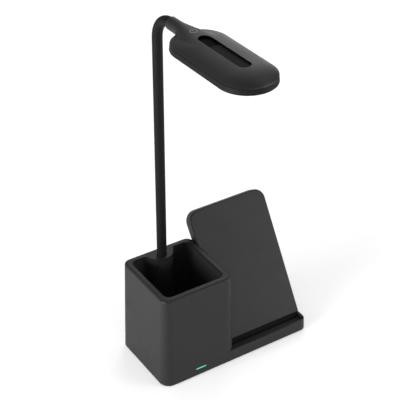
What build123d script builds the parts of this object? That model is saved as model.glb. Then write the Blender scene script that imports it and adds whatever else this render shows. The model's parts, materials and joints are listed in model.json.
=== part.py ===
# Desk lamp with a pen cup, a leaning charging stand for a phone and a bendable neck.
# Millimetres, +Z up, -Y to the front. The origin lies on the desk under the middle of the base.
import os
from math import atan2, cos, degrees, radians, sin, sqrt, tan

from build123d import *

os.makedirs("parts", exist_ok=True)

# Clearances
fit_gap = 0.2  # between mouldings that sit in one another
pin_gap = 0.05  # around screws, lenses and tubes
joint_gap = 0.3  # between the ball and the socket of two neck spans

# Base
base_width = 170.0
base_depth = 85.0
base_corner = 10.5  # vertical corner radius at the bottom edge
draft = 1.6  # degrees that the outer walls lean inwards
wall = 2.5
cover_thickness = 2.0
pad_thickness = 1.2
pad_inset = 4.0
ballast_thickness = 5.0
ballast_margin = 4.0

# Pen cup
cup_width = 82.7
cup_height = 100.8
rim_width = 5.9
rim_thickness = 3.0
rim_edge = 2.5
well_corner = 6.5
well_wall = 1.8
well_floor_height = 20.8  # of the well's floor above the base's bottom edge
boss_radius = 14.0  # nose of the boss that carries the neck
boss_reach = 8.2  # of that nose in front of the neck's axis
boss_blend = 5.0  # hollow arcs that lead from the back edge into the nose

# Phone ledge
ledge_height = 12.0
ledge_corner = 8.0
ledge_edge = 1.0
ledge_skin = 2.5
lip = 2.4
trough_width = 10.8
trough_depth = 7.0
trough_end = 2.8
trough_floor = 1.8
grip_thickness = 1.0

# Phone stand
plate_lean = 31.9  # degrees from upright
plate_length = 133.2
plate_thickness = 10.4
plate_corner = 11.5
plate_edge = 1.2
plate_inset = 1.3  # from the right end of the ledge
plate_rise = 2.0  # shadow gap under the plate's front edge
plate_recess = 0.8  # how far the foot stands back from that edge
plate_wall = 2.4
plate_skin = 2.6
rear_cover_thickness = 2.0
coil_outer = 23.0
coil_inner = 10.0
coil_thickness = 2.0
coil_height = 75.0  # along the plate, from its front edge
ferrite_side = 50.0
ferrite_thickness = 0.8
charger_margin = 12.4  # from the sides of the plate's hollow
charger_height = 24.0
charger_thickness = 1.2
charger_post = 0.6
charger_start = 18.0

# Screws
screw_radius = 1.2
screw_head = 2.2
screw_head_height = 1.1
screw_reach = 6.0
boss_wall = 2.4
boss_bite = 0.3  # how deep a boss sinks into its wall
small_screw_radius = 1.0
small_screw_head = 2.0
small_screw_reach = 4.0

# Electronics in the base
board_width = 50.0
board_thickness = 1.6
board_post = 3.4
board_post_radius = 2.5
board_post_margin = 5.0
board_end_gap = 1.5
chip_width = 7.0
chip_height = 1.2
choke_width = 7.0
choke_height = 3.0
driver_width = 5.0
driver_height = 1.0
plug_width = 4.0
plug_length = 9.0
plug_height = 4.0
capacitor_radius = 3.2
capacitor_height = 7.0
inlet_width = 8.94
inlet_height = 3.26
inlet_depth = 7.35
inlet_shell = 0.35
inlet_tongue = 0.7
indicator_width = 12.0
indicator_height = 1.4
indicator_depth = 4.2
indicator_rise = 7.7  # of its middle above the base's bottom edge

# Neck
neck_radius = 4.8
neck_setback = 13.9  # of its axis from the back of the base
sleeve_bore = 3.2
core_radius = 3.1
core_bore = 1.9
core_stop = 6.0  # where a core ends, before the next joint
first_joint = 14.0  # above the rim
joint_pitch = 40.0
arch_lead = 19.1  # from the last upright joint to the arch
arch_radius = 23.0
root_depth = 36.0  # of the sleeve below the rim
root_tail = 6.0  # of bare core below the sleeve
nut_height = 5.0
lead_radius = 1.2

# Head
head_turn = 1.5  # degrees that the head stands turned to the right at the last joint
head_radius = 25.8  # along the seam
head_rear = 68.0  # from the neck's axis to the centre of the head's rear round
head_tip = 131.6
head_drop = 6.35  # of the head's underside below the neck's axis
frame_height = 5.2
frame_flare = 0.5  # how much wider the frame is at its underside
frame_wall = 2.2
frame_step = 1.4
frame_flange = 6.0
flange_thickness = 1.5
frame_edge = 0.8
dome_rise = 7.8  # from the seam to the ridge where both flanks would meet
dome_power = 1.65
dome_undercut = 0.7
dome_waist = 0.1  # share of the rise that lies below the widest line
dome_rear_lean = 16.0  # how far the dome's rear end leans forward over its rise
shell_thickness = 7.0
shell_room = 2.4
slot_radius = 6.0
slot_rear = 74.2
slot_tip = 128.0
slot_depth = 2.7
slot_skin = 1.2
slot_floor_thickness = 0.8
collar_start = 23.8
collar_radius = 6.0
collar_throat = 36.0  # places along the neck where the collar widens, with its half width there
collar_throat_width = 6.2
collar_waist = 48.0
collar_waist_width = 9.9
collar_broad = 62.0
collar_broad_width = 13.9
collar_end = 82.0
collar_end_width = 14.0
collar_dip = 0.6  # of the collar's end below the crest
stub_end = 40.4
wire_radius = 0.7
led_board_thickness = 1.0
led_board_rise = 3.9
led_size = 3.0
led_thickness = 0.6
led_pitch = 8.0
led_row_pitch = 13.0
diffuser_thickness = 1.0
key_place = 57.5
key_radius = 3.3
key_line = 0.7
key_depth = 0.5
key_gap = 1.6
electrode_radius = 4.5
electrode_thickness = 0.4
head_screw_x = 15.0
head_screw_end = 6.0  # from the centres of the head's end rounds

# Places that follow from the sizes
lean = tan(radians(draft))
x_left = -base_width / 2
x_right = base_width / 2
y_front = -base_depth / 2
y_back = base_depth / 2
neck_y = y_back - neck_setback
z_base = pad_thickness
z_cover = z_base + cover_thickness
z_rim = z_base + cup_height
z_under_rim = z_rim - rim_thickness
z_ledge = z_base + ledge_height
cup_x = x_left + cup_width / 2
cup_right = x_left + cup_width
rim_shrink = 2 * (lean * cup_height + rim_width)
well_width = cup_width - rim_shrink
well_depth = base_depth - rim_shrink
z_well = z_base + well_floor_height
trough_front = y_front + lip
trough_back = trough_front + trough_width
trough_left = cup_right - base_corner
trough_right = x_right - trough_end
z_trough = z_ledge - trough_depth
ledge_start = trough_left - wall
hollow_left = cup_right - wall - base_corner
hollow_right = x_right - wall - lean * ledge_height
hollow_front = trough_back + wall
hollow_back = y_back - wall - lean * ledge_height
board_z = z_cover + board_post
board_top = board_z + board_thickness
indicator_z = z_base + indicator_rise
screw_boss = screw_radius + boss_wall
screw_inset = wall + screw_boss - boss_bite
joint_z = [z_rim + first_joint + joint_pitch * i for i in range(6)]
arch_z = joint_z[-1] + arch_lead
arch_y = neck_y - arch_radius
head_axis_z = arch_z + arch_radius
head_z = head_axis_z - head_drop
seam_z = head_z + frame_height
dome_cut = (1 - (slot_radius / head_radius) ** dome_power) ** (1 / dome_power)
crest_z = seam_z + dome_rise * dome_cut
rear_y = neck_y - head_rear
tip_y = neck_y - head_tip
socket_radius = neck_radius + joint_gap
collet_radius = boss_reach - well_wall - fit_gap
boss_y = neck_y - boss_reach + boss_radius
upright = Plane(origin=(cup_x, neck_y, 0), x_dir=(1, 0, 0), z_dir=(0, -1, 0))


def save(builder, name):
    builder.part.label = name
    export_step(builder.part, f"parts/{name}.step")


# Head pieces stand turned about the last joint of the neck
def save_head(builder, name):
    turned = builder.part.rotate(Axis((cup_x, arch_y, 0), (0, 0, 1)), head_turn)
    turned.label = name
    export_step(turned, f"parts/{name}.step")


def block(x0, x1, y0, y1, z0, z1, mode=Mode.ADD):
    with BuildSketch(Plane.XY.offset(z0)) as plan:
        with Locations(((x0 + x1) / 2, (y0 + y1) / 2)):
            Rectangle(x1 - x0, y1 - y0)
    extrude(plan.sketch, amount=z1 - z0, mode=mode)


def rods(spots, radius, z0, z1, mode=Mode.ADD):
    with BuildSketch(Plane.XY.offset(z0)) as plan:
        with Locations(*spots):
            Circle(radius)
    extrude(plan.sketch, amount=z1 - z0, mode=mode)


# Outline of the ledge at one height: square where it starts, inside the cup, and rounded at its right end
def ledge_outline(z):
    inset = lean * (z - z_base)
    end = x_right - inset
    with BuildSketch(Plane.XY.offset(z)) as outline:
        with Locations(((ledge_start + end) / 2, 0)):
            Rectangle(end - ledge_start, base_depth - 2 * inset)
        fillet(outline.vertices().group_by(Axis.X)[-1], ledge_corner)
    return outline.sketch


# Plan of the cup, drawn in by a wall
def cup_plan(inset):
    with BuildSketch(Plane.XY.offset(z_base)) as plan:
        with Locations((cup_x, 0)):
            RectangleRounded(cup_width - 2 * inset, base_depth - 2 * inset, base_corner - inset)
    return plan.sketch


# Plan of the pen well, grown by a wall: a rounded square with the neck's boss in its back edge
def well_plan(grow):
    back = well_depth / 2 + grow
    blend = boss_blend + grow
    nose = boss_radius - grow
    blend_y = back - blend
    reach = sqrt((boss_blend + boss_radius) ** 2 - (boss_y - blend_y) ** 2)
    turn = degrees(atan2(boss_y - blend_y, reach))
    with Locations((cup_x, 0)):
        RectangleRounded(well_width + 2 * grow, well_depth + 2 * grow, well_corner + grow)
    with BuildSketch(mode=Mode.PRIVATE) as boss:
        with BuildLine():
            CenterArc((cup_x - reach, blend_y), blend, turn, 90 - turn)
            CenterArc((cup_x, boss_y), nose, 180 + turn, 180 - 2 * turn)
            CenterArc((cup_x + reach, blend_y), blend, 90, 90 - turn)
            Polyline((cup_x + reach, back), (cup_x + reach, back + well_wall),
                     (cup_x - reach, back + well_wall), (cup_x - reach, back))
        make_face()
    add(boss.sketch, mode=Mode.SUBTRACT)


cover_spots = [
    (x_left + screw_inset, y_front * 0.55),
    (x_left + screw_inset, y_back * 0.55),
    (x_right - screw_inset, y_front * 0.45),
    (x_right - screw_inset, y_back * 0.55),
    (cup_right + screw_inset + wall, y_back - screw_inset),
    (cup_right + screw_inset + wall, hollow_front + screw_boss - boss_bite),
]
left_spots = cover_spots[:2]
ledge_spots = cover_spots[2:]
indicator_plane = Plane(origin=(cup_x, y_front, indicator_z), x_dir=(1, 0, 0), z_dir=(0, -1, 0))
inlet_z = board_top + inlet_height / 2
inlet_plane = Plane(origin=(cup_x, y_back, inlet_z), x_dir=(-1, 0, 0), z_dir=(0, 1, 0))

# Main housing: pen cup and phone ledge in one moulding, open below
with BuildPart() as main_housing:
    loft([ledge_outline(z) for z in (z_base, z_ledge)], ruled=True)
    ledge_top = main_housing.faces().sort_by(Axis.Z)[-1]
    fillet(ledge_top.edges().sort_by(Axis.X)[1:], ledge_edge)
    block(trough_left, trough_right, trough_front, trough_back, z_trough, z_ledge, Mode.SUBTRACT)
    extrude(cup_plan(0), amount=cup_height, taper=draft)
    fillet(main_housing.faces().sort_by(Axis.Z)[-1].edges(), rim_edge)
    # hollow of the cup, hollow of the ledge, shallow hollow under the trough and seat of the bottom cover
    extrude(cup_plan(wall), amount=cup_height - rim_thickness, taper=draft, mode=Mode.SUBTRACT)
    with BuildSketch(Plane.XY.offset(z_base)):
        with Locations(((hollow_left + hollow_right) / 2, (hollow_front + hollow_back) / 2)):
            RectangleRounded(hollow_right - hollow_left, hollow_back - hollow_front, ledge_corner - wall)
    extrude(amount=ledge_height - ledge_skin, mode=Mode.SUBTRACT)
    block(hollow_left, x_right - ledge_corner, -hollow_back, hollow_front + wall,
          z_base, z_trough - trough_floor, Mode.SUBTRACT)
    with BuildSketch(Plane.XY.offset(z_base)):
        RectangleRounded(base_width - 2 * wall, base_depth - 2 * wall, base_corner - wall)
    extrude(amount=cover_thickness, mode=Mode.SUBTRACT)
    # mouth of the pen well and neck hole
    with BuildSketch(Plane.XY.offset(z_under_rim)):
        well_plan(0)
    extrude(amount=rim_thickness, mode=Mode.SUBTRACT)
    rods([(cup_x, neck_y)], neck_radius + joint_gap, z_under_rim, z_rim, Mode.SUBTRACT)
    # screw bosses
    rods(left_spots, screw_boss, z_cover, z_ledge)
    rods(ledge_spots, screw_boss, z_cover, z_ledge - ledge_skin)
    rods(cover_spots, screw_radius + pin_gap, z_cover, z_cover + screw_reach + fit_gap, Mode.SUBTRACT)
    # windows of the indicator and the charging inlet
    with BuildSketch(indicator_plane):
        SlotOverall(indicator_width, indicator_height)
    extrude(amount=wall * 2, both=True, mode=Mode.SUBTRACT)
    with BuildSketch(inlet_plane):
        SlotOverall(inlet_width + 2 * fit_gap, inlet_height + 2 * fit_gap)
    extrude(amount=wall * 2, both=True, mode=Mode.SUBTRACT)
save(main_housing, "main_housing")

# Pen well: the inner tub, joined to the underside of the rim
with BuildPart() as pen_well:
    with BuildSketch(Plane.XY.offset(z_well - well_wall)):
        well_plan(well_wall)
    extrude(amount=z_under_rim - z_well + well_wall)
    with BuildSketch(Plane.XY.offset(z_well)):
        well_plan(0)
    extrude(amount=z_under_rim - z_well, mode=Mode.SUBTRACT)
save(pen_well, "pen_well")

# Bottom cover with posts for the main board
board_front = y_front + wall + board_end_gap
board_back = y_back - wall - board_end_gap
board_spots = [(cup_x + sx * (board_width / 2 - board_post_margin), sy * (board_back - board_post_margin))
               for sx in (-1, 1) for sy in (-1, 1)]
with BuildPart() as bottom_cover:
    with BuildSketch(Plane.XY.offset(z_base)):
        inset = 2 * (wall + fit_gap)
        RectangleRounded(base_width - inset, base_depth - inset, base_corner - wall - fit_gap)
    extrude(amount=cover_thickness)
    rods(board_spots, board_post_radius, z_cover, board_z)
    rods(cover_spots, screw_radius + fit_gap, z_base, z_cover, Mode.SUBTRACT)
    rods(cover_spots, screw_head + fit_gap, z_base, z_base + screw_head_height, Mode.SUBTRACT)
save(bottom_cover, "bottom_cover")

with BuildPart() as cover_screws:
    rods(cover_spots, screw_head, z_base, z_base + screw_head_height)
    rods(cover_spots, screw_radius, z_base + screw_head_height, z_cover + screw_reach)
save(cover_screws, "cover_screws")

with BuildPart() as anti_slip_pad:
    with BuildSketch(Plane.XY):
        RectangleRounded(base_width - 2 * pad_inset, base_depth - 2 * pad_inset, base_corner - pad_inset)
    extrude(amount=pad_thickness)
save(anti_slip_pad, "anti_slip_pad")

# Ballast: a steel plate on the cover, under the phone stand
ballast_left = ledge_spots[-1][0] + screw_boss + ballast_margin
ballast_right = x_right - screw_inset - screw_boss - ballast_margin
with BuildPart() as ballast_plate:
    block(ballast_left, ballast_right, hollow_front + ballast_margin, hollow_back - ballast_margin,
          z_cover, z_cover + ballast_thickness)
save(ballast_plate, "ballast_plate")

# Grip: a rubber strip in the trough, cut out around the cup's corner
with BuildPart() as trough_grip:
    block(trough_left + fit_gap, trough_right - fit_gap, trough_front + fit_gap, trough_back - fit_gap,
          z_trough, z_trough + grip_thickness)
    extrude(cup_plan(-fit_gap), amount=cup_height, taper=draft, mode=Mode.SUBTRACT)
save(trough_grip, "trough_grip")

# Phone stand: a front panel with a hollow back, closed by a rear cover
plate_turn = radians(plate_lean)
plate_up = (0, sin(plate_turn), cos(plate_turn))
plate_out = (0, -cos(plate_turn), sin(plate_turn))
plate_foot_y = trough_back + fit_gap * 3
z_plate = z_ledge + plate_rise
plate_plane = Plane(origin=(0, plate_foot_y, z_plate), x_dir=(1, 0, 0), z_dir=plate_out)
cup_side = Plane(origin=(cup_right, 0, z_base), x_dir=(0, 1, 0),
                 z_dir=(cos(radians(draft)), 0, sin(radians(draft))))
plate_right = x_right - plate_inset
plate_foot_back = plate_foot_y + plate_thickness / cos(plate_turn)
room_left = cup_right + plate_wall
room_right = plate_right - plate_wall
room_bottom = plate_thickness * tan(plate_turn) + plate_wall
room_top = plate_length - plate_wall
room_x = (room_left + room_right) / 2
room_y = (room_bottom + room_top) / 2
plate_boss = small_screw_radius + boss_wall
plate_boss_inset = plate_boss + fit_gap * 5
plate_spots = [(x, y)
               for x in (room_left + plate_boss_inset, room_right - plate_boss_inset)
               for y in (room_bottom + plate_boss_inset, room_top - plate_corner)]
room_depth = plate_thickness - rear_cover_thickness


# Plan of the hollow in the plate, drawn in by a gap
def room_plan(gap):
    with Locations((room_x, room_y)):
        RectangleRounded(room_right - room_left - 2 * gap, room_top - room_bottom - 2 * gap,
                         plate_corner - plate_wall - gap)


def plate_rods(spots, radius, d0, d1, mode=Mode.ADD):
    with BuildSketch(plate_plane.offset(-d0)) as plan:
        with Locations(*spots):
            Circle(radius)
    extrude(plan.sketch, amount=d0 - d1, mode=mode)


with BuildPart() as stand_panel:
    with BuildSketch(plate_plane):
        with Locations(((cup_x + plate_right) / 2, plate_length / 2 - plate_thickness)):
            Rectangle(plate_right - cup_x, plate_length + 2 * plate_thickness)
    extrude(amount=-plate_thickness)
    split(bisect_by=cup_side, keep=Keep.TOP)
    split(bisect_by=Plane.XY.offset(z_plate), keep=Keep.TOP)
    top_edges = stand_panel.faces().sort_by(Axis((0, 0, 0), plate_up))[-1].edges().sort_by(Axis.X)
    fillet([top_edges[0], top_edges[-1]], plate_corner)
    skins = stand_panel.faces().filter_by(plate_plane).sort_by(Axis((0, 0, 0), plate_out))
    fillet(skins[-1].edges().sort_by(Axis.Z)[1:] + skins[0].edges().sort_by(Axis.Z)[1:], plate_edge)
    with BuildSketch(plate_plane.offset(-plate_skin)):
        room_plan(0)
    extrude(amount=-plate_thickness, mode=Mode.SUBTRACT)
    plate_rods(plate_spots, plate_boss, plate_skin, room_depth)
    plate_rods(plate_spots, small_screw_radius + pin_gap, plate_skin + fit_gap, room_depth, Mode.SUBTRACT)
    block(cup_right + plate_recess, plate_right - plate_recess, plate_foot_y + plate_recess,
          plate_foot_back - plate_recess, z_ledge, z_plate)
save(stand_panel, "stand_panel")

charger_y = charger_start + charger_height / 2
charger_width = room_right - room_left - 2 * charger_margin
charger_spots = [(room_x + sx * (charger_width / 2 - board_post_radius), charger_y) for sx in (-1, 1)]
with BuildPart() as stand_rear_cover:
    with BuildSketch(plate_plane.offset(-plate_thickness)):
        room_plan(fit_gap)
    extrude(amount=rear_cover_thickness)
    plate_rods(charger_spots, board_post_radius, room_depth - charger_post, room_depth)
    plate_rods(plate_spots, small_screw_radius + fit_gap, room_depth, plate_thickness, Mode.SUBTRACT)
    plate_rods(plate_spots, small_screw_head + fit_gap, plate_thickness - screw_head_height,
               plate_thickness, Mode.SUBTRACT)
save(stand_rear_cover, "stand_rear_cover")

with BuildPart() as stand_screws:
    plate_rods(plate_spots, small_screw_head, plate_thickness - screw_head_height, plate_thickness)
    plate_rods(plate_spots, small_screw_radius, room_depth - small_screw_reach,
               plate_thickness - screw_head_height)
save(stand_screws, "stand_screws")

with BuildPart() as charging_coil:
    with BuildSketch(plate_plane.offset(-plate_skin)):
        with Locations((room_x, coil_height)):
            Circle(coil_outer)
            Circle(coil_inner, mode=Mode.SUBTRACT)
    extrude(amount=-coil_thickness)
save(charging_coil, "charging_coil")

with BuildPart() as ferrite_sheet:
    with BuildSketch(plate_plane.offset(-plate_skin - coil_thickness)):
        with Locations((room_x, coil_height)):
            Rectangle(ferrite_side, ferrite_side)
    extrude(amount=-ferrite_thickness)
save(ferrite_sheet, "ferrite_sheet")

with BuildPart() as charger_board:
    with BuildSketch(plate_plane.offset(charger_post - room_depth)):
        with Locations((room_x, charger_y)):
            Rectangle(charger_width, charger_height)
    extrude(amount=charger_thickness)
save(charger_board, "charger_board")

# Main board with its parts, charging inlet and indicator
with BuildPart() as main_board:
    block(cup_x - board_width / 2, cup_x + board_width / 2, board_front, board_back, board_z, board_top)
save(main_board, "main_board")

with BuildPart() as board_components:
    for share_x, share_y, width, length, height in (
        (-0.28, 0.16, chip_width, chip_width, chip_height),
        (0.16, 0.18, choke_width, choke_width, choke_height),
        (-0.24, -0.1, driver_width, driver_width, driver_height),
        (0.28, -0.13, plug_width, plug_length, plug_height),
    ):
        x = cup_x + share_x * board_width
        y = share_y * (board_back - board_front)
        block(x - width / 2, x + width / 2, y - length / 2, y + length / 2, board_top, board_top + height)
    capacitors = [(cup_x + share * board_width, share * board_width / 4) for share in (-0.04, 0.36)]
    rods(capacitors, capacitor_radius, board_top, board_top + capacitor_height)
save(board_components, "board_components")

with BuildPart() as usb_c_socket:
    with BuildSketch(inlet_plane.offset(-wall / 4)):
        SlotOverall(inlet_width, inlet_height)
    extrude(amount=-inlet_depth)
    with BuildSketch(inlet_plane.offset(-wall / 4)):
        SlotOverall(inlet_width - 2 * inlet_shell, inlet_height - 2 * inlet_shell)
    extrude(amount=-inlet_depth + inlet_shell * 3, mode=Mode.SUBTRACT)
    with BuildSketch(inlet_plane.offset(-wall / 4 - inlet_depth + inlet_shell)):
        Rectangle(inlet_width - 4 * inlet_tongue, inlet_tongue)
    extrude(amount=inlet_depth - inlet_shell * 4)
save(usb_c_socket, "usb_c_socket")

lens_face = lean * indicator_rise
with BuildPart() as indicator_lens:
    with BuildSketch(indicator_plane.offset(-lens_face)):
        SlotOverall(indicator_width - 2 * pin_gap, indicator_height - 2 * pin_gap)
    extrude(amount=-indicator_depth)
save(indicator_lens, "indicator_lens")

led_y = y_front + lens_face + indicator_depth + pin_gap
with BuildPart() as indicator_led:
    block(cup_x - indicator_width / 4, cup_x + indicator_width / 4, led_y, led_y + indicator_height,
          board_top, board_top + indicator_height)
save(indicator_led, "indicator_led")

# Neck socket under the rim, nut and lamp lead
z_root = z_rim - root_depth
with BuildPart() as neck_socket:
    rods([(cup_x, neck_y)], collet_radius, z_root, z_under_rim)
    rods([(cup_x, neck_y)], neck_radius + pin_gap, z_root, z_under_rim, Mode.SUBTRACT)
save(neck_socket, "neck_socket")

with BuildPart() as neck_nut:
    with BuildSketch(Plane.XY.offset(z_root - nut_height)):
        with Locations((cup_x, neck_y)):
            RegularPolygon(collet_radius, 6)
            Circle(core_radius + pin_gap, mode=Mode.SUBTRACT)
    extrude(amount=nut_height)
save(neck_nut, "neck_nut")

with BuildPart() as lamp_lead:
    rods([(cup_x, neck_y)], lead_radius, board_top, z_under_rim)
save(lamp_lead, "lamp_lead")


# A straight stretch of the neck along a plane's y axis: ball at its start, socket at its end, or flat there
def straight_sleeve(plane, start, end, ball, socket):
    with BuildSketch(plane) as profile:
        with BuildLine():
            foot_in = (sleeve_bore, start - (sqrt(neck_radius**2 - sleeve_bore**2) if ball else 0))
            foot_out = (neck_radius, start)
            head_out = (neck_radius, end - (sqrt(socket_radius**2 - neck_radius**2) if socket else 0))
            head_in = (sleeve_bore, end - (sqrt(socket_radius**2 - sleeve_bore**2) if socket else 0))
            if ball:
                RadiusArc(foot_in, foot_out, -neck_radius)
            else:
                Line(foot_in, foot_out)
            Line(foot_out, head_out)
            if socket:
                RadiusArc(head_out, head_in, socket_radius)
            else:
                Line(head_out, head_in)
            Line(head_in, foot_in)
        make_face()
    revolve(profile.sketch, axis=Axis(plane.origin, plane.y_dir), revolution_arc=360)


def straight_core(plane, start, end):
    with BuildSketch(plane) as profile:
        with Locations(((core_radius + core_bore) / 2, (start + end) / 2)):
            Rectangle(core_radius - core_bore, end - start)
    revolve(profile.sketch, axis=Axis(plane.origin, plane.y_dir), revolution_arc=360)


# Sleeve and steel core of the neck: root in the cup, six upright spans, two arch spans, stub in the head
with BuildPart() as sleeve_root:
    straight_sleeve(upright, z_root, joint_z[0], False, True)
save(sleeve_root, "neck_sleeve_root")

with BuildPart() as core_root:
    straight_core(upright, z_root - root_tail, joint_z[0] - core_stop)
save(core_root, "neck_core_root")

span_ends = joint_z + [arch_z]
for i in range(len(joint_z)):
    with BuildPart() as sleeve_span:
        straight_sleeve(upright, span_ends[i], span_ends[i + 1], True, True)
    save(sleeve_span, f"neck_sleeve_{i + 1}")
    with BuildPart() as core_span:
        straight_core(upright, span_ends[i], span_ends[i + 1] - core_stop)
    save(core_span, f"neck_core_{i + 1}")

arch_axis = Axis((cup_x, arch_y, arch_z), (1, 0, 0))
arch_step = 45.0
core_turn = arch_step - degrees(core_stop / arch_radius)


# Point and direction of the arch after a turn in degrees
def arch_plane(turn):
    a = radians(turn)
    return Plane(origin=(cup_x, arch_y + arch_radius * cos(a), arch_z + arch_radius * sin(a)),
                 x_dir=(1, 0, 0), z_dir=(0, -sin(a), cos(a)))


for i, name in enumerate(("lower", "upper")):
    start_plane = arch_plane(arch_step * i)
    end_plane = arch_plane(arch_step * (i + 1))
    along = Plane(origin=start_plane.origin, x_dir=(1, 0, 0), z_dir=-start_plane.y_dir)
    with BuildPart() as arch_sleeve:
        with BuildSketch(start_plane):
            Circle(neck_radius)
            Circle(sleeve_bore, mode=Mode.SUBTRACT)
        revolve(axis=arch_axis, revolution_arc=arch_step)
        with BuildSketch(along):
            with BuildLine():
                ball_tip = (sleeve_bore, -sqrt(neck_radius**2 - sleeve_bore**2))
                RadiusArc(ball_tip, (neck_radius, 0), -neck_radius)
                Polyline((neck_radius, 0), (sleeve_bore, 0), ball_tip)
            make_face()
        revolve(axis=Axis(along.origin, along.y_dir), revolution_arc=360)
        with Locations(end_plane.origin):
            Sphere(socket_radius, mode=Mode.SUBTRACT)
    save(arch_sleeve, f"neck_sleeve_arch_{name}")
    with BuildPart() as arch_core:
        with BuildSketch(start_plane):
            Circle(core_radius)
            Circle(core_bore, mode=Mode.SUBTRACT)
        revolve(axis=arch_axis, revolution_arc=core_turn)
    save(arch_core, f"neck_core_arch_{name}")

forward = Plane(origin=(cup_x, neck_y, head_axis_z), x_dir=(1, 0, 0), z_dir=(0, 0, 1))
stub_plane = Plane(origin=forward.origin, x_dir=(-1, 0, 0), z_dir=(0, 0, 1))
with BuildPart() as sleeve_stub:
    straight_sleeve(stub_plane, arch_radius, stub_end, True, False)
save_head(sleeve_stub, "neck_sleeve_stub")

with BuildPart() as core_stub:
    straight_core(stub_plane, arch_radius, stub_end)
save_head(core_stub, "neck_core_stub")


# Head: stadium outlines along -Y
def stadium(radius, rear=rear_y, tip=tip_y, mode=Mode.ADD):
    with Locations((cup_x, (rear + tip) / 2)):
        SlotCenterToCenter(rear - tip, 2 * radius, rotation=90, mode=mode)


def stadium_plate(radius, z0, z1, mode=Mode.ADD):
    with BuildSketch(Plane.XY.offset(z0)) as plan:
        stadium(radius)
    extrude(plan.sketch, amount=z1 - z0, mode=mode)


def dome_radius(share):
    undercut = dome_undercut * max(0, 1 - share / dome_waist)
    return head_radius * (1 - share**dome_power) ** (1 / dome_power) - undercut


def collar_section(place, half_width, half_height, z):
    plane = Plane(origin=(cup_x, neck_y - place, z), x_dir=(1, 0, 0), z_dir=(0, -1, 0))
    with BuildSketch(plane) as section:
        Ellipse(half_width, half_height)
    return section.sketch


collar_half = (crest_z - head_z) / 2
collar_z = head_z + collar_half
dome_steps = (0.26, 0.42, 0.57, 0.72, 0.85, 0.93, 0.97, 1)
dome_shares = [0, dome_waist] + [step * dome_cut for step in dome_steps]
with BuildPart() as head_form:
    for share in dome_shares:
        with BuildSketch(Plane.XY.offset(seam_z + dome_rise * share)):
            stadium(dome_radius(share), rear_y - dome_rear_lean * share)
    loft()
    loft([
        collar_section(collar_start, collar_radius, collar_radius, head_axis_z),
        collar_section(collar_throat, collar_throat_width, (collar_radius + collar_half) / 2,
                       (head_axis_z + collar_z) / 2),
        collar_section(collar_waist, collar_waist_width, collar_half, collar_z),
        collar_section(collar_broad, collar_broad_width, collar_half, collar_z),
        collar_section(collar_end, collar_end_width, collar_half - collar_dip, collar_z - collar_dip),
    ])
    stadium_plate(head_radius + frame_flare + fit_gap, head_z - collar_radius, seam_z, Mode.SUBTRACT)

key_y = neck_y - key_place


# Plain power sign: an open ring and a short bar
def key_plan():
    with Locations((cup_x, key_y)):
        Circle(key_radius)
        Circle(key_radius - key_line, mode=Mode.SUBTRACT)
    with Locations((cup_x, key_y + key_radius)):
        Rectangle(key_gap + key_line, 2 * key_radius, mode=Mode.SUBTRACT)
    with Locations((cup_x, key_y + key_radius * 0.7)):
        Rectangle(key_line, key_radius)


with BuildPart() as key_core:
    add(head_form.part)
    with BuildSketch(Plane.XY.offset(seam_z)):
        with Locations((cup_x, key_y)):
            Circle(key_radius * 2)
    extrude(amount=dome_rise * 2, mode=Mode.INTERSECT)
key_base_z = key_core.part.bounding_box().max.Z - key_depth * 2

with BuildPart() as touch_key:
    with BuildSketch(Plane.XY.offset(key_base_z)):
        key_plan()
    extrude(amount=dome_rise)
    add(head_form.part, mode=Mode.INTERSECT)
save_head(touch_key, "touch_key")

slot_rear_y = neck_y - slot_rear
slot_tip_y = neck_y - slot_tip
slot_z = crest_z - slot_depth
diffuser_z = head_z + flange_thickness
room_z = seam_z + shell_room
led_board_z = head_z + led_board_rise
led_board_top = led_board_z + led_board_thickness
head_spots = [(cup_x + sx * head_screw_x, y)
              for sx in (-1, 1) for y in (rear_y + head_screw_end, tip_y - head_screw_end)]
head_boss = small_screw_radius + boss_wall * 0.75
wire_y = neck_y - stub_end + core_stop
wire_plane = Plane(origin=(cup_x, wire_y, led_board_top + wire_radius), z_dir=(0, -1, 0))
wire_length = head_rear - head_radius + frame_wall * 3 - stub_end + core_stop
with BuildPart() as head_upper_shell:
    add(head_form.part)
    with BuildSketch(Plane.XY.offset(seam_z)):
        stadium(head_radius - shell_thickness, rear_y - dome_rear_lean / 2)
        stadium(slot_radius + slot_skin, slot_rear_y, slot_tip_y, Mode.SUBTRACT)
    extrude(amount=shell_room, mode=Mode.SUBTRACT)
    rods([(cup_x, key_y)], electrode_radius + fit_gap, seam_z, room_z, Mode.SUBTRACT)
    with BuildSketch(Plane.XY.offset(slot_z)):
        stadium(slot_radius, slot_rear_y, slot_tip_y)
    extrude(amount=slot_depth + 1, mode=Mode.SUBTRACT)
    with BuildSketch(Plane.XY.offset(key_base_z)):
        key_plan()
    extrude(amount=dome_rise, mode=Mode.SUBTRACT)
    with BuildSketch(Plane(origin=(cup_x, neck_y - collar_start, head_axis_z), z_dir=(0, -1, 0))):
        Circle(neck_radius + pin_gap)
    extrude(amount=stub_end - collar_start + fit_gap, mode=Mode.SUBTRACT)
    with BuildSketch(wire_plane):
        Circle(wire_radius + fit_gap)
    extrude(amount=wire_length, mode=Mode.SUBTRACT)
    rods(head_spots, head_boss, led_board_top, room_z)
    rods(head_spots, small_screw_radius + pin_gap, led_board_top, room_z, Mode.SUBTRACT)
save_head(head_upper_shell, "head_upper_shell")

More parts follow.
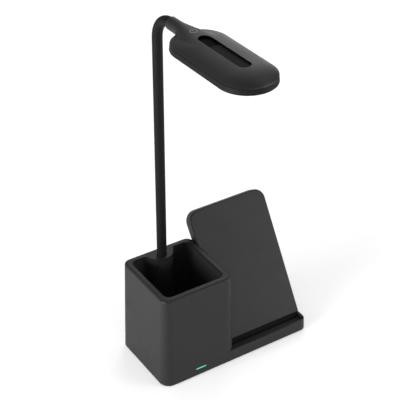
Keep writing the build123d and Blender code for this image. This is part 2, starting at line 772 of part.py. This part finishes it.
with BuildPart() as head_lower_frame:
    with BuildSketch(Plane.XY.offset(head_z)):
        stadium(head_radius + frame_flare)
    extrude(amount=frame_height, taper=degrees(atan2(frame_flare, frame_height)))
    fillet(head_lower_frame.faces().sort_by(Axis.Z)[0].edges(), frame_edge)
    stadium_plate(head_radius - frame_flange, head_z, diffuser_z, Mode.SUBTRACT)
    stadium_plate(head_radius - frame_wall - frame_step, diffuser_z, led_board_z, Mode.SUBTRACT)
    stadium_plate(head_radius - frame_wall, led_board_z, seam_z, Mode.SUBTRACT)
    with BuildSketch(wire_plane):
        Circle(wire_radius + fit_gap)
    extrude(amount=wire_length, mode=Mode.SUBTRACT)
save_head(head_lower_frame, "head_lower_frame")

with BuildPart() as head_wire:
    with BuildSketch(wire_plane):
        Circle(wire_radius)
    extrude(amount=wire_length)
save_head(head_wire, "head_wire")

diffuser_radius = head_radius - frame_wall - frame_step - fit_gap
with BuildPart() as diffuser:
    stadium_plate(diffuser_radius, diffuser_z, diffuser_z + diffuser_thickness)
    stadium_plate(head_radius - frame_flange - fit_gap, head_z + fit_gap, diffuser_z)
save_head(diffuser, "diffuser")

with BuildPart() as led_board:
    stadium_plate(head_radius - frame_wall - fit_gap, led_board_z, led_board_top)
    rods(head_spots, small_screw_radius + fit_gap, led_board_z, led_board_top, Mode.SUBTRACT)
save_head(led_board, "led_board")

led_count = int((rear_y - tip_y) // led_pitch) + 1
with BuildPart() as led_chips:
    with BuildSketch(Plane.XY.offset(led_board_z)):
        with Locations((cup_x, (rear_y + tip_y) / 2)):
            with GridLocations(led_row_pitch, led_pitch, 2, led_count):
                Rectangle(led_size, led_size)
    extrude(amount=-led_thickness)
save_head(led_chips, "led_chips")

with BuildPart() as head_screws:
    rods(head_spots, small_screw_head, led_board_z - screw_head_height, led_board_z)
    rods(head_spots, small_screw_radius, led_board_z, room_z - fit_gap)
save_head(head_screws, "head_screws")

with BuildPart() as slot_floor:
    with BuildSketch(Plane.XY.offset(slot_z)):
        stadium(slot_radius - fit_gap, slot_rear_y, slot_tip_y)
    extrude(amount=slot_floor_thickness)
save_head(slot_floor, "slot_floor")

with BuildPart() as touch_electrode:
    rods([(cup_x, key_y)], electrode_radius, room_z - electrode_thickness, room_z)
save_head(touch_electrode, "touch_electrode")
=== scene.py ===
import json
import math

import bmesh
import bpy
from mathutils import Matrix, Vector


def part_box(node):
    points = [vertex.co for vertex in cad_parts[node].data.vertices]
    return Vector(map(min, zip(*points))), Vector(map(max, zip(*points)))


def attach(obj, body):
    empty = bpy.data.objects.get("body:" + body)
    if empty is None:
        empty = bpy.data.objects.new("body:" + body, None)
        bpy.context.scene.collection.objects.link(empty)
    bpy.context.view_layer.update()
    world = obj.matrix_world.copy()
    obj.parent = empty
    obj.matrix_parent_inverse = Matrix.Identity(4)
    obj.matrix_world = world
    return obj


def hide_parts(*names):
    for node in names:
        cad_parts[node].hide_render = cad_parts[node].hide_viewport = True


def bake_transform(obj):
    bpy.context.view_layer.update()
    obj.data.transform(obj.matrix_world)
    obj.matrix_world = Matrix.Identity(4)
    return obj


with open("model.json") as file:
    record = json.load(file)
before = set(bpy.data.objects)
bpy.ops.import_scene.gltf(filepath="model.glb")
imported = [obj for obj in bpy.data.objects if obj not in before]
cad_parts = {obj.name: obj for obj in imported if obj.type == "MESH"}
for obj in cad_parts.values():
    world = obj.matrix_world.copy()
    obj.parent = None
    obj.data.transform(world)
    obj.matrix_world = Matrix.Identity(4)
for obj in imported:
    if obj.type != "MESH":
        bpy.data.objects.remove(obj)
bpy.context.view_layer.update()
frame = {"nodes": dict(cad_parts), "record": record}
nodes = frame["nodes"]
mm = 0.001
joints = frame["record"]["behaviour"]["joints"]
jointPlace = {joint["name"]: Vector(joint["pos_m"]) for joint in joints}
print("frame loaded:", len(nodes), "nodes")


def tone(level, tint=(1, 1, 1)):
    return (level * tint[0], level * tint[1], level * tint[2], 1)


# shader maths: a socket that can be added, subtracted, multiplied and divided
class Wire:
    def __init__(self, shade, socket):
        self.shade = shade
        self.socket = socket

    def math(self, operation, first, second):
        return self.shade.add("ShaderNodeMath", {"operation": operation}, {0: first, 1: second})

    def __add__(self, other):
        return self.math("ADD", self, other)

    def __radd__(self, other):
        return self.math("ADD", other, self)

    def __sub__(self, other):
        return self.math("SUBTRACT", self, other)

    def __rsub__(self, other):
        return self.math("SUBTRACT", other, self)

    def __mul__(self, other):
        return self.math("MULTIPLY", self, other)

    def __rmul__(self, other):
        return self.math("MULTIPLY", other, self)

    def __truediv__(self, other):
        return self.math("DIVIDE", self, other)

    def __rtruediv__(self, other):
        return self.math("DIVIDE", other, self)

    # a pattern from 0 to 1 made to sway evenly about a middle value
    def around(self, middle, spread):
        return self * spread + (middle - spread / 2)


class Shade:
    def __init__(self, tree, shader):
        self.tree = tree
        self.shader = tree.nodes[shader]
        self.place = self.add("ShaderNodeTexCoord", {}, {}, "Object")

    # any node: its type, its settings, which are set first, and the values or links of its sockets
    def add(self, kind, settings, sockets, output=0):
        node = self.tree.nodes.new(kind)
        for key, value in settings.items():
            if key == "stops":
                self.setStops(node.color_ramp, value)
            else:
                setattr(node, key, value)
        for key, value in sockets.items():
            if isinstance(value, Wire):
                self.tree.links.new(value.socket, node.inputs[key])
            else:
                node.inputs[key].default_value = value
        return Wire(self, node.outputs[output])

    # stops: places along the ramp, each with its grey level
    def setStops(self, ramp, stops):
        while len(ramp.elements) > 1:
            ramp.elements.remove(ramp.elements[-1])
        ramp.elements[0].position = stops[0][0]
        ramp.elements[0].color = tone(stops[0][1])
        for position, level in stops[1:]:
            ramp.elements.new(position).color = tone(level)

    def ramp(self, value, stops):
        return self.add("ShaderNodeValToRGB", {"stops": stops}, {"Fac": value}, "Color")

    def along(self, axis):
        return self.add("ShaderNodeSeparateXYZ", {}, {"Vector": self.place}, axis)

    def feed(self, **wires):
        for socket, wire in wires.items():
            self.tree.links.new(wire.socket, self.shader.inputs[socket.replace("_", " ")])


class Finish(Shade):
    def __init__(self, name, **constants):
        self.material = bpy.data.materials.new(name)
        self.material.use_nodes = True
        super().__init__(self.material.node_tree, "Principled BSDF")
        for socket, value in constants.items():
            self.shader.inputs[socket.replace("_", " ")].default_value = value

    def noise(self, scale, detail=2.0, roughness=0.5, stretch=(1, 1, 1)):
        where = self.place
        if stretch != (1, 1, 1):
            where = self.add("ShaderNodeMapping", {}, {"Vector": self.place, "Scale": stretch})
        return self.add("ShaderNodeTexNoise", {}, {
            "Vector": where, "Scale": scale, "Detail": detail, "Roughness": roughness}, "Fac")

    # a Mix node has its colours on sockets 6 and 7 and on output 2
    def mixColour(self, factor, first, second):
        return self.add("ShaderNodeMix", {"data_type": "RGBA"}, {0: factor, 6: first, 7: second}, 2)

    def bump(self, height, depth, strength=1.0):
        return self.add("ShaderNodeBump", {}, {
            "Height": height, "Distance": depth, "Strength": strength}, "Normal")

    def feed(self, **wires):
        super().feed(**wires)
        return self.material


mouldGrit = {"scale": 2600, "detail": 2, "roughness": 0.6}  # skin of a spark-eroded mould
coolTint = (1, 1, 1.03)


# moulded plastic: slight shade drift, fine grit, a little uneven sheen
def mouldedPlastic(name, level, rough, shine=0.26, grain=0.02 * mm, drift=0.12):
    finish = Finish(name, Specular_IOR_Level=shine)
    patch = finish.noise(scale=14, detail=3)
    grit = finish.noise(**mouldGrit)
    smear = finish.noise(scale=60, detail=4, roughness=0.6)
    dark, pale = [tone(level * share, coolTint) for share in (1 - drift, 1 + drift)]
    return finish.feed(Base_Color=finish.mixColour(patch, dark, pale),
                       Roughness=smear.around(rough, spread=0.12) + grit * 0.02,
                       Normal=finish.bump(grit, depth=grain, strength=0.6))


# silicone rubber: softer, dustier, with a faint bloom
def softRubber(name, level, rough, shine=0.2, grain=0.03 * mm):
    finish = Finish(name, Specular_IOR_Level=shine)
    bloom = finish.noise(scale=90, detail=4, roughness=0.65)
    grit = finish.noise(scale=3200, detail=2, roughness=0.6)
    dark, pale = [tone(level * share) for share in (0.85, 1.2)]
    return finish.feed(Base_Color=finish.mixColour(bloom, dark, pale),
                       Roughness=bloom.around(rough, spread=0.16),
                       Normal=finish.bump(grit, depth=grain, strength=0.7))


# metal with fine lines, drawn out along one direction where stretch is given
def brushedMetal(name, colour, rough, stretch=(1, 1, 1)):
    finish = Finish(name, Metallic=1.0)
    lines = finish.noise(scale=900, detail=3, roughness=0.6, stretch=stretch)
    blotch = finish.noise(scale=120, detail=3)
    dark, pale = [tone(share, colour) for share in (0.82, 1)]
    return finish.feed(Base_Color=finish.mixColour(lines, dark, pale),
                       Roughness=lines.around(rough, spread=0.16) + blotch.around(0, spread=0.1),
                       Normal=finish.bump(lines, depth=0.01 * mm, strength=0.5))


# circuit laminate: solder mask with paler tracks
def boardLaminate(name, colour, rough):
    finish = Finish(name, Specular_IOR_Level=0.5)
    cells = finish.add("ShaderNodeTexVoronoi", {"feature": "DISTANCE_TO_EDGE"},
                       {"Vector": finish.place, "Scale": 160}, "Distance")
    track = finish.ramp(cells, [(0.0, 1), (0.08, 0)])
    weave = finish.noise(scale=700, detail=2)
    mask, copper = [tone(share, colour) for share in (1, 1.7)]
    return finish.feed(Base_Color=finish.mixColour(track, mask, copper),
                       Roughness=weave.around(rough, spread=0.15),
                       Normal=finish.bump(track, depth=0.03 * mm))


# milky plastic: a breath of unevenness and a fine frosted skin
def frostedWhite(name, level, rough):
    finish = Finish(name, Specular_IOR_Level=0.5)
    cloud = finish.noise(scale=30, detail=3)
    frost = finish.noise(scale=2400, detail=2)
    cool, warm = tone(level * 0.96), tone(level, (1, 1, 0.985))
    return finish.feed(Base_Color=finish.mixColour(cloud, cool, warm),
                       Roughness=cloud.around(rough, spread=0.08),
                       Normal=finish.bump(frost, depth=0.01 * mm))


# slot floor: a painted shadow darkens its rear end, as in the photograph
def slotPlastic(name, level, rough, shine, shadowShare, shadowLevel, fade):
    tipY, rearY = [corner[1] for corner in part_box("slot_floor")]
    shadowEdgeY = rearY - shadowShare * (rearY - tipY)
    finish = Finish(name, Specular_IOR_Level=shine)
    # painted shadow: over the rear share the floor's colour falls to a small part of its level
    paintedShadow = finish.ramp((finish.along("Y") - shadowEdgeY) / fade + 0.5, [(0.0, 0), (1.0, 1)])
    grit = finish.noise(**mouldGrit)
    return finish.feed(Base_Color=finish.mixColour(paintedShadow, tone(level), tone(level * shadowLevel)),
                       Roughness=grit.around(rough, spread=0.06),
                       Normal=finish.bump(grit, depth=0.006 * mm, strength=0.6))


# lit lens: brightest at the middle of its length
def litLens(name, colour, strength, middle, halfLength, fall=0.45, dim=0.25):
    finish = Finish(name, Roughness=0.25, Emission_Strength=strength)
    away = (finish.along("X") - middle) / halfLength
    glow = 1 - away * away * fall
    bright = finish.mixColour(glow, tone(dim, colour), tone(1, colour))
    return finish.feed(Base_Color=bright, Emission_Color=bright)


# wound copper: turns as fine bands
def woundCopper(name, colour, rough):
    finish = Finish(name, Metallic=1.0)
    bands = finish.add("ShaderNodeTexWave", {"bands_direction": "X"},
                       {"Vector": finish.place, "Scale": 500}, "Fac")
    dark, pale = [tone(share, colour) for share in (0.55, 1)]
    return finish.feed(Base_Color=finish.mixColour(bands, dark, pale),
                       Roughness=bands.around(rough, spread=0.15),
                       Normal=finish.bump(bands, depth=0.1 * mm))


finishSets = {
    "bodyPlastic": (mouldedPlastic, {"level": 0.0105, "rough": 0.5}),
    # head's lower frame: a darker copy of the body plastic, painted shade for the dimmer light on the
    # head
    "framePlastic": (mouldedPlastic, {"level": 0.007, "rough": 0.55, "shine": 0.1}),
    "wellPlastic": (mouldedPlastic, {"level": 0.018, "rough": 0.6, "shine": 0.2}),
    # slot floor finish: its rear share carries a painted shadow
    "slotPlastic": (slotPlastic, {"level": 0.021, "rough": 0.53, "shine": 0.012, "shadowShare": 0.27,
                                  "shadowLevel": 0.07, "fade": 1.6 * mm}),
    # slot walls: a near-black copy of the body plastic, painted shade inside the slot
    "slotWall": (mouldedPlastic, {"level": 0.003, "rough": 0.5, "shine": 0.08}),
    "keyPrint": (mouldedPlastic, {"level": 0.2, "rough": 0.5, "grain": 0.01 * mm}),
    "chipPlastic": (mouldedPlastic, {"level": 0.015, "rough": 0.6}),
    "ferrite": (mouldedPlastic, {"level": 0.04, "rough": 0.7, "grain": 0.05 * mm, "drift": 0.3}),
    "neckRubber": (softRubber, {"level": 0.0042, "rough": 0.6, "shine": 0.11}),
    "gripRubber": (softRubber, {"level": 0.035, "rough": 0.7}),
    "footRubber": (softRubber, {"level": 0.012, "rough": 0.75, "grain": 0.06 * mm}),
    "leadRubber": (softRubber, {"level": 0.02, "rough": 0.45}),
    "neckSteel": (brushedMetal, {"colour": (0.5, 0.51, 0.53), "rough": 0.38, "stretch": (1, 1, 0.05)}),
    "screwSteel": (brushedMetal, {"colour": (0.55, 0.56, 0.58), "rough": 0.32}),
    "ballastSteel": (brushedMetal, {"colour": (0.25, 0.25, 0.26), "rough": 0.5, "stretch": (0.05, 1, 1)}),
    "socketSteel": (brushedMetal, {"colour": (0.62, 0.62, 0.64), "rough": 0.28, "stretch": (1, 0.05, 1)}),
    "nutBrass": (brushedMetal, {"colour": (0.72, 0.55, 0.25), "rough": 0.35}),
    "boardLaminate": (boardLaminate, {"colour": (0.02, 0.12, 0.05), "rough": 0.395}),
    "diffuserWhite": (frostedWhite, {"level": 0.55, "rough": 0.4}),
    "ledWhite": (frostedWhite, {"level": 0.8, "rough": 0.3}),
    "coilCopper": (woundCopper, {"colour": (0.72, 0.34, 0.18), "rough": 0.355}),
    "indicatorLens": (litLens, {"colour": (0.085, 0.5, 0.27), "strength": 0.46, "middle": -43.65 * mm,
                                "halfLength": 6 * mm}),
}
finishes = {name: make(name, **settings) for name, (make, settings) in finishSets.items()}
finishOf = {
    "bodyPlastic": ["main_housing", "bottom_cover", "stand_panel", "stand_rear_cover", "neck_socket",
                    "head_upper_shell"],
    "framePlastic": ["head_lower_frame"],
    "wellPlastic": ["pen_well"],
    "slotPlastic": ["slot_floor"],
    "keyPrint": ["touch_key"],
    "chipPlastic": ["board_components"],
    "ferrite": ["ferrite_sheet"],
    "neckRubber": [node for node in nodes if node.startswith("neck_sleeve")],
    "gripRubber": ["trough_grip"],
    "footRubber": ["anti_slip_pad"],
    "leadRubber": ["lamp_lead", "head_wire"],
    "neckSteel": [node for node in nodes if node.startswith("neck_core")],
    "screwSteel": ["cover_screws", "stand_screws", "head_screws"],
    "ballastSteel": ["ballast_plate"],
    "socketSteel": ["usb_c_socket"],
    "nutBrass": ["neck_nut"],
    "boardLaminate": ["main_board", "charger_board", "led_board"],
    "diffuserWhite": ["diffuser"],
    "ledWhite": ["led_chips", "indicator_led"],
    "coilCopper": ["charging_coil", "touch_electrode"],
    "indicatorLens": ["indicator_lens"],
}
for finish, names in finishOf.items():
    for name in names:
        nodes[name].data.materials.clear()
        nodes[name].data.materials.append(finishes[finish])
print("finishes:", len(finishes))


meshSet = {"mergeGap": 0.001 * mm, "sharpTurn": math.radians(38)}


def finishPiece(bm, name, finish, smooth=True):
    bmesh.ops.remove_doubles(bm, verts=bm.verts, dist=meshSet["mergeGap"])
    bmesh.ops.recalc_face_normals(bm, faces=bm.faces)
    for face in bm.faces:
        face.smooth = smooth
    for edge in bm.edges:
        edge.smooth = not edge.is_manifold or edge.calc_face_angle() < meshSet["sharpTurn"]
    mesh = bpy.data.meshes.new(name)
    bm.to_mesh(mesh)
    bm.free()
    mesh.materials.append(finishes[finish])
    piece = bpy.data.objects.new(name, mesh)
    bpy.context.scene.collection.objects.link(piece)
    return piece


# rubber sleeve of the neck, one length for each bending place, meeting in the middle of the stiff lengths
lastJoint = jointPlace["head_tip_2"]
archStart = jointPlace["head_tip_1"]
headFoot, headTop = [Vector(corner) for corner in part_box("head_lower_frame")]
headMiddle = (headFoot + headTop) / 2
headTurn = math.atan2(headMiddle.x - lastJoint.x, lastJoint.y - headMiddle.y)
neck = {
    "axis": Vector((archStart.x, archStart.y, 0)),
    "radius": 4.8 * mm,
    "bore": 3.2 * mm,
    "sides": 40,
    "rootZ": 66 * mm,
    "jointZ": sorted(place.z for name, place in jointPlace.items() if name.startswith("neck_bend")),
    "archZ": archStart.z,
    "archRadius": lastJoint.z - archStart.z,
    "archCuts": (22.5, 67.5),  # degrees round the arch where lengths of the sleeve meet
    "stubEnd": archStart.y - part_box("neck_sleeve_stub")[0][1],
    "bendReach": 17 * mm,  # how far a bend spreads to each side of its joint on the upright
    "uprightClear": 2 * mm,  # how far the arch's bends keep from the ends of their lengths
    "archClear": 1.5,  # the same round the arch, in degrees
    "stubBend": 9 * mm,  # how far the last bend runs past the arch
    "step": 2 * mm,
}
archPivot = neck["axis"] + Vector((0, -neck["archRadius"], neck["archZ"]))


def neckPoint(z):
    return neck["axis"] + Vector((0, 0, z))


def archPoint(degrees):
    turn = Matrix.Rotation(math.radians(degrees), 3, "X")
    return archPivot + turn @ Vector((0, neck["archRadius"], 0))


# legs: ("rise", length), ("turn", degrees) round the arch, ("run", length) to the front
def sleevePiece(name, start, startTurn, legs):
    bm = bmesh.new()
    rings = []
    for radius in (neck["radius"], neck["bore"]):
        made = bmesh.ops.create_circle(bm, segments=neck["sides"], radius=radius)
        rings += list({edge for vert in made["verts"] for edge in vert.link_edges})
    bmesh.ops.bridge_loops(bm, edges=rings)
    tilt = Matrix.Rotation(math.radians(startTurn), 3, "X")
    bmesh.ops.rotate(bm, verts=bm.verts, cent=(0, 0, 0), matrix=tilt)
    bmesh.ops.translate(bm, verts=bm.verts, vec=start)
    for kind, amount in legs:
        length = amount if kind != "turn" else math.radians(amount) * neck["archRadius"]
        steps = max(1, round(length / neck["step"]))
        for i in range(steps):
            grown = bmesh.ops.extrude_edge_only(bm, edges=rings)["geom"]
            verts = [item for item in grown if isinstance(item, bmesh.types.BMVert)]
            rings = [item for item in grown
                     if isinstance(item, bmesh.types.BMEdge) and set(verts).issuperset(item.verts)]
            if kind == "rise":
                bmesh.ops.translate(bm, verts=verts, vec=(0, 0, amount / steps))
            elif kind == "run":
                onward = Vector((math.sin(headTurn), -math.cos(headTurn), 0))
                bmesh.ops.translate(bm, verts=verts, vec=onward * (amount / steps))
            else:
                turn = Matrix.Rotation(math.radians(amount / steps), 3, "X")
                bmesh.ops.rotate(bm, verts=verts, cent=archPivot, matrix=turn)
    bmesh.ops.bridge_loops(bm, edges=rings)
    return finishPiece(bm, name, "neckRubber")


middles = [neck["rootZ"]]
middles += [(a + b) / 2 for a, b in zip(neck["jointZ"], neck["jointZ"][1:] + [neck["archZ"]])]
bodyNames = ["base"] + [f"neck_{i + 1}" for i in range(len(neck["jointZ"]))]
sleeveParts = {}
for i, jointZ in enumerate(neck["jointZ"]):
    foot, top = middles[i], middles[i + 1]
    reach = min(neck["bendReach"], top - jointZ)
    sleeveParts[f"neckSleeve{i + 1}"] = {
        "start": neckPoint(foot), "startTurn": 0, "legs": [("rise", top - foot)],
        "nodes": (["neck_sleeve_root"] if i == 0 else []) + [f"neck_sleeve_{i + 1}"],
        "bodies": (bodyNames[i], bodyNames[i + 1]),
        "bend": (neckPoint(jointZ - reach), neckPoint(jointZ + reach)),
    }
lowCut, highCut = neck["archCuts"]
sleeveParts["neckSleeveArchLower"] = {
    "start": neckPoint(middles[-1]), "startTurn": 0,
    "legs": [("rise", neck["archZ"] - middles[-1]), ("turn", lowCut)],
    "nodes": ["neck_sleeve_arch_lower"], "bodies": (bodyNames[-1], "arch_lower"),
    "bend": (neckPoint(middles[-1] + neck["uprightClear"]), archPoint(lowCut - neck["archClear"])),
}
sleeveParts["neckSleeveArchUpper"] = {
    "start": archPoint(lowCut), "startTurn": lowCut, "legs": [("turn", highCut - lowCut)],
    "nodes": ["neck_sleeve_arch_upper"], "bodies": ("arch_lower", "arch_upper"),
    "bend": (archPoint(lowCut + neck["archClear"]), archPoint(highCut - neck["archClear"])),
}
sleeveParts["neckSleeveStub"] = {
    "start": archPoint(highCut), "startTurn": highCut,
    "legs": [("turn", 90 - highCut), ("run", neck["stubEnd"] - neck["archRadius"])],
    "nodes": ["neck_sleeve_stub"], "bodies": ("arch_upper", "head"),
    "bend": (archPoint(highCut + neck["archClear"]), archPoint(90) + Vector((0, -neck["stubBend"], 0))),
}
for name, part in sleeveParts.items():
    piece = sleevePiece(name, part["start"], part["startTurn"], part["legs"])
    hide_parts(*part["nodes"])
    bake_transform(piece)
print("neck sleeve done:", len(sleeveParts), "lengths")


# upper shell of the head: a dome over a long oval, with the collar of the neck flowing into its rear
# lengths in millimetres: along the head from the neck's axis, across it, and above the seam
shell = {
    "radius": 25.8,
    "rear": 68.0,
    "tip": 131.6,
    "rise": 7.8,
    "power": 1.65,  # roundness of the dome from its rim to its top
    "rearLean": 16.0,  # how far the rear of the dome leans to the tip by its top
    "halvings": 18,  # tries that close in on the dome's height
    "waist": 0.78,
    "waistRun": 4.0,
    "undercut": 0.6,
    "frameRear": 41.5,
    "collar": {"place": [23.8, 36, 48, 62, 82, 96], "width": [6, 6.2, 9.9, 13.9, 14, 14],
               "height": [6, 6.14, 6.28, 6.28, 5.68, 4], "middle": [1.15, 1.12, 1.08, 1.08, 0.48, -1.6]},
    "flow": 3.0,  # how far the collar and the dome melt into one another
    "slotRadius": 6.0,
    "slotRear": 74.2,
    "slotTip": 128.0,
    "keyPlace": 57.5,
    "keyRing": 4.6,
    "keyDip": 0.08,  # how far the shell sinks under the key, so that the key stands proud
    "keyEdge": 1 / 6,  # share of the ring over which it sinks
    "sides": 30,  # faces across each half of the top
    "collarStep": 1.5,
    "collarSteps": 14,
    "arcSteps": 14,
    "slotSteps": 18,
    "mergeGap": 0.01,
    "thinEdge": 0.005,
}


# smooth curve through the collar's widths, heights or middles
def collarAt(what, u):
    places, values = shell["collar"]["place"], shell["collar"][what]
    last = len(places) - 1
    i = min(max(sum(place <= u for place in places) - 1, 0), last - 1)
    slopes = []
    for k in (i, i + 1):
        before, after = max(k - 1, 0), min(k + 1, last)
        slopes.append((values[after] - values[before]) / (places[after] - places[before]))
    span = places[i + 1] - places[i]
    t = min(max((u - places[i]) / span, 0), 1)
    return ((1 + 2 * t) * (1 - t) ** 2 * values[i] + t * (1 - t) ** 2 * span * slopes[0]
            + t * t * (3 - 2 * t) * values[i + 1] + t * t * (t - 1) * span * slopes[1])


def melt(a, b):
    gap = max(0, shell["flow"] - abs(a - b))
    return max(a, b) + gap * gap / (4 * shell["flow"])


def domeHeight(x, u):
    low, high = 0.0, 1.0
    for i in range(shell["halvings"]):
        share = (low + high) / 2
        past = max(0, shell["rear"] + shell["rearLean"] * share - u, u - shell["tip"])
        if math.hypot(x, past) < shell["radius"] * (1 - share ** shell["power"]) ** (1 / shell["power"]):
            low = share
        else:
            high = share
    return shell["rise"] * low


def collarHeight(x, u, side=1):
    across = 1 - (x / collarAt("width", u)) ** 2
    arch = math.copysign(math.sqrt(abs(across)), across)
    return collarAt("middle", u) + side * collarAt("height", u) * arch


def outlineAt(u):
    past = max(0, shell["rear"] - u, u - shell["tip"])
    dome = math.sqrt(max(0, shell["radius"] ** 2 - past ** 2))
    return melt(dome, collarAt("width", u)) if u < shell["rear"] else dome


def slotAt(u):
    past = max(0, shell["slotRear"] - u, u - shell["slotTip"])
    return math.sqrt(max(0, shell["slotRadius"] ** 2 - past ** 2))


def topHeight(x, u):
    waist = shell["waist"] * min(max((u - shell["frameRear"]) / shell["waistRun"], 0), 1)
    key = max(0, 1 - math.hypot(x, u - shell["keyPlace"]) / shell["keyRing"])
    dip = shell["keyDip"] * min(1, key / shell["keyEdge"])
    return max(waist, melt(domeHeight(x, u), collarHeight(x, u))) - dip


# places along the head where its loops stand, closer at the round ends
quarter = [math.radians(90 * i / shell["arcSteps"]) for i in range(shell["arcSteps"] + 1)]
slotRun = shell["slotTip"] - shell["slotRear"]
stations = [shell["collar"]["place"][0] + shell["collarStep"] * i for i in range(shell["collarSteps"])]
stations += [shell["frameRear"]]
stations += [shell["rear"] - shell["radius"] * math.cos(a) for a in quarter]
stations += [shell["slotRear"] - shell["slotRadius"] * math.cos(a) for a in quarter]
stations += [shell["slotRear"] + slotRun * i / shell["slotSteps"] for i in range(shell["slotSteps"] + 1)]
stations += [shell["slotTip"] + shell["slotRadius"] * math.sin(a) for a in quarter]
stations += [shell["tip"] + shell["radius"] * math.sin(a) for a in quarter]
stations = sorted({round(u, 2) for u in stations})


# one loop across the head: right half of the top, underside, left half of the top
def shellLoop(u, overFrame):
    width, slot = outlineAt(u), slotAt(u)
    spread = [math.sin(math.radians(90 * i / shell["sides"])) for i in range(shell["sides"] + 1)]
    half = [(slot + (width - slot) * s, u, topHeight(slot + (width - slot) * s, u)) for s in spread]
    inner = max(0, width - shell["undercut"])
    under = [(inner * s, u, 0) if overFrame else (width * s, u, collarHeight(width * s, u, -1))
             for s in spread[::-1]]
    right = half + under[:-1]
    return right + [(0, u, under[-1][2])] + [(-x, y, z) for x, y, z in right[::-1]]


bm = bmesh.new()
loops = [shellLoop(u, u > shell["frameRear"]) for u in stations]
loops.insert(stations.index(shell["frameRear"]) + 1, shellLoop(shell["frameRear"], True))
shellFoot = Vector((lastJoint.x, archStart.y, headTop.z)) / mm
rows = [[bm.verts.new(shellFoot + Vector((x, -u, z))) for x, u, z in loop] for loop in loops]
for before, after in zip(rows, rows[1:]):
    for i in range(len(before) - 1):
        bm.faces.new((before[i], before[i + 1], after[i + 1], after[i]))
bm.faces.new(rows[0][1:-1])
bmesh.ops.remove_doubles(bm, verts=bm.verts, dist=shell["mergeGap"])
bmesh.ops.dissolve_degenerate(bm, edges=bm.edges, dist=shell["thinEdge"])
rim = [edge for edge in bm.edges if edge.is_boundary]
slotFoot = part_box("slot_floor")[0][2] / mm
for item in bmesh.ops.extrude_edge_only(bm, edges=rim)["geom"]:
    if isinstance(item, bmesh.types.BMVert):
        item.co.z = slotFoot
    elif isinstance(item, bmesh.types.BMFace):
        item.material_index = 1  # the slot's wall, with the near-black finish that paints shade into the slot
bmesh.ops.scale(bm, vec=(mm, mm, mm), verts=bm.verts)
bmesh.ops.rotate(bm, verts=bm.verts, cent=lastJoint, matrix=Matrix.Rotation(headTurn, 3, "Z"))
headShell = finishPiece(bm, "headShell", "bodyPlastic")
# second finish of the shell: painted shade on the slot's wall
headShell.data.materials.append(finishes["slotWall"])
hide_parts("head_upper_shell")
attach(headShell, "head")
print("head shell done:", len(headShell.data.polygons), "faces")


# pale floor, studio lights and the photograph's view
stageSet = {
    "floorSize": 60.0,
    "floorDrop": 0.2 * mm,
    "floorTone": 0.82,
    "floorMottle": 1.02,
    "floorRough": 0.9,
    "floorShine": 0.1,
    "floorGlow": 0.32,
    "sky": [(0.5, 0.3), (0.65, 0.42), (0.8, 0.5), (1.0, 0.55)],  # from the horizon to overhead
    "camera": (-0.53225, -0.79901, 0.81034),
    "pitch": 33.893,
    "yaw": 32.769,
    "lens": 110.36,
    "sensor": 36.0,
    "farthest": 50,  # end of the camera's sight
}
lamps = {
    "keyLeft": {"place": (-1.5, -0.2, 0.3), "aim": (0, 0, 0.05), "size": 0.9, "power": 33},
    "fillRight": {"place": (1.2, -1.2, 0.4), "aim": (0, 0, 0.1), "size": 0.9, "power": 16},
    "backHigh": {"place": (1.0, 1.2, 1.3), "aim": (0, 0, 0.18), "size": 0.9, "power": 7.2},
    "backLow": {"place": (1.6, 1.6, 0.25), "aim": (0, 0, 0.05), "size": 0.9, "power": 4.3},
}
bm = bmesh.new()
bmesh.ops.create_grid(bm, x_segments=2, y_segments=2, size=stageSet["floorSize"] / 2)
bmesh.ops.translate(bm, verts=bm.verts, vec=(0, 0, -stageSet["floorDrop"]))
floorFinish = Finish("paleFloor", Roughness=stageSet["floorRough"],
                     Specular_IOR_Level=stageSet["floorShine"],
                     Emission_Color=tone(1), Emission_Strength=stageSet["floorGlow"])
mottle = floorFinish.noise(scale=3, detail=2)
floorTones = [tone(stageSet["floorTone"] * share) for share in (1, stageSet["floorMottle"])]
finishes["paleFloor"] = floorFinish.feed(Base_Color=floorFinish.mixColour(mottle, *floorTones))
finishPiece(bm, "paleFloor", "paleFloor", False)

world = bpy.data.worlds.new("studio")
world.use_nodes = True
sky = Shade(world.node_tree, "Background")
height = sky.along("Z") * 0.5 + 0.5  # straight down is 0, straight up is 1
sky.feed(Color=sky.ramp(height, stageSet["sky"]))
bpy.context.scene.world = world
for name, lamp in lamps.items():
    light = bpy.data.lights.new(name, "AREA")
    light.shape = "DISK"
    light.size = lamp["size"]
    light.energy = lamp["power"]
    holder = bpy.data.objects.new(name, light)
    holder.location = lamp["place"]
    beam = Vector(lamp["aim"]) - Vector(lamp["place"])
    holder.rotation_euler = beam.to_track_quat("-Z", "Y").to_euler()
    bpy.context.scene.collection.objects.link(holder)

cameraData = bpy.data.cameras.new("photoView")
cameraData.lens = stageSet["lens"]
cameraData.sensor_width = stageSet["sensor"]
cameraData.clip_end = stageSet["farthest"]
camera = bpy.data.objects.new("photoView", cameraData)
camera.location = stageSet["camera"]
camera.rotation_euler = (math.radians(90 - stageSet["pitch"]), 0, math.radians(-stageSet["yaw"]))
bpy.context.scene.collection.objects.link(camera)
bpy.context.scene.camera = camera
bpy.context.scene.view_settings.view_transform = "Standard"
print("stage done")
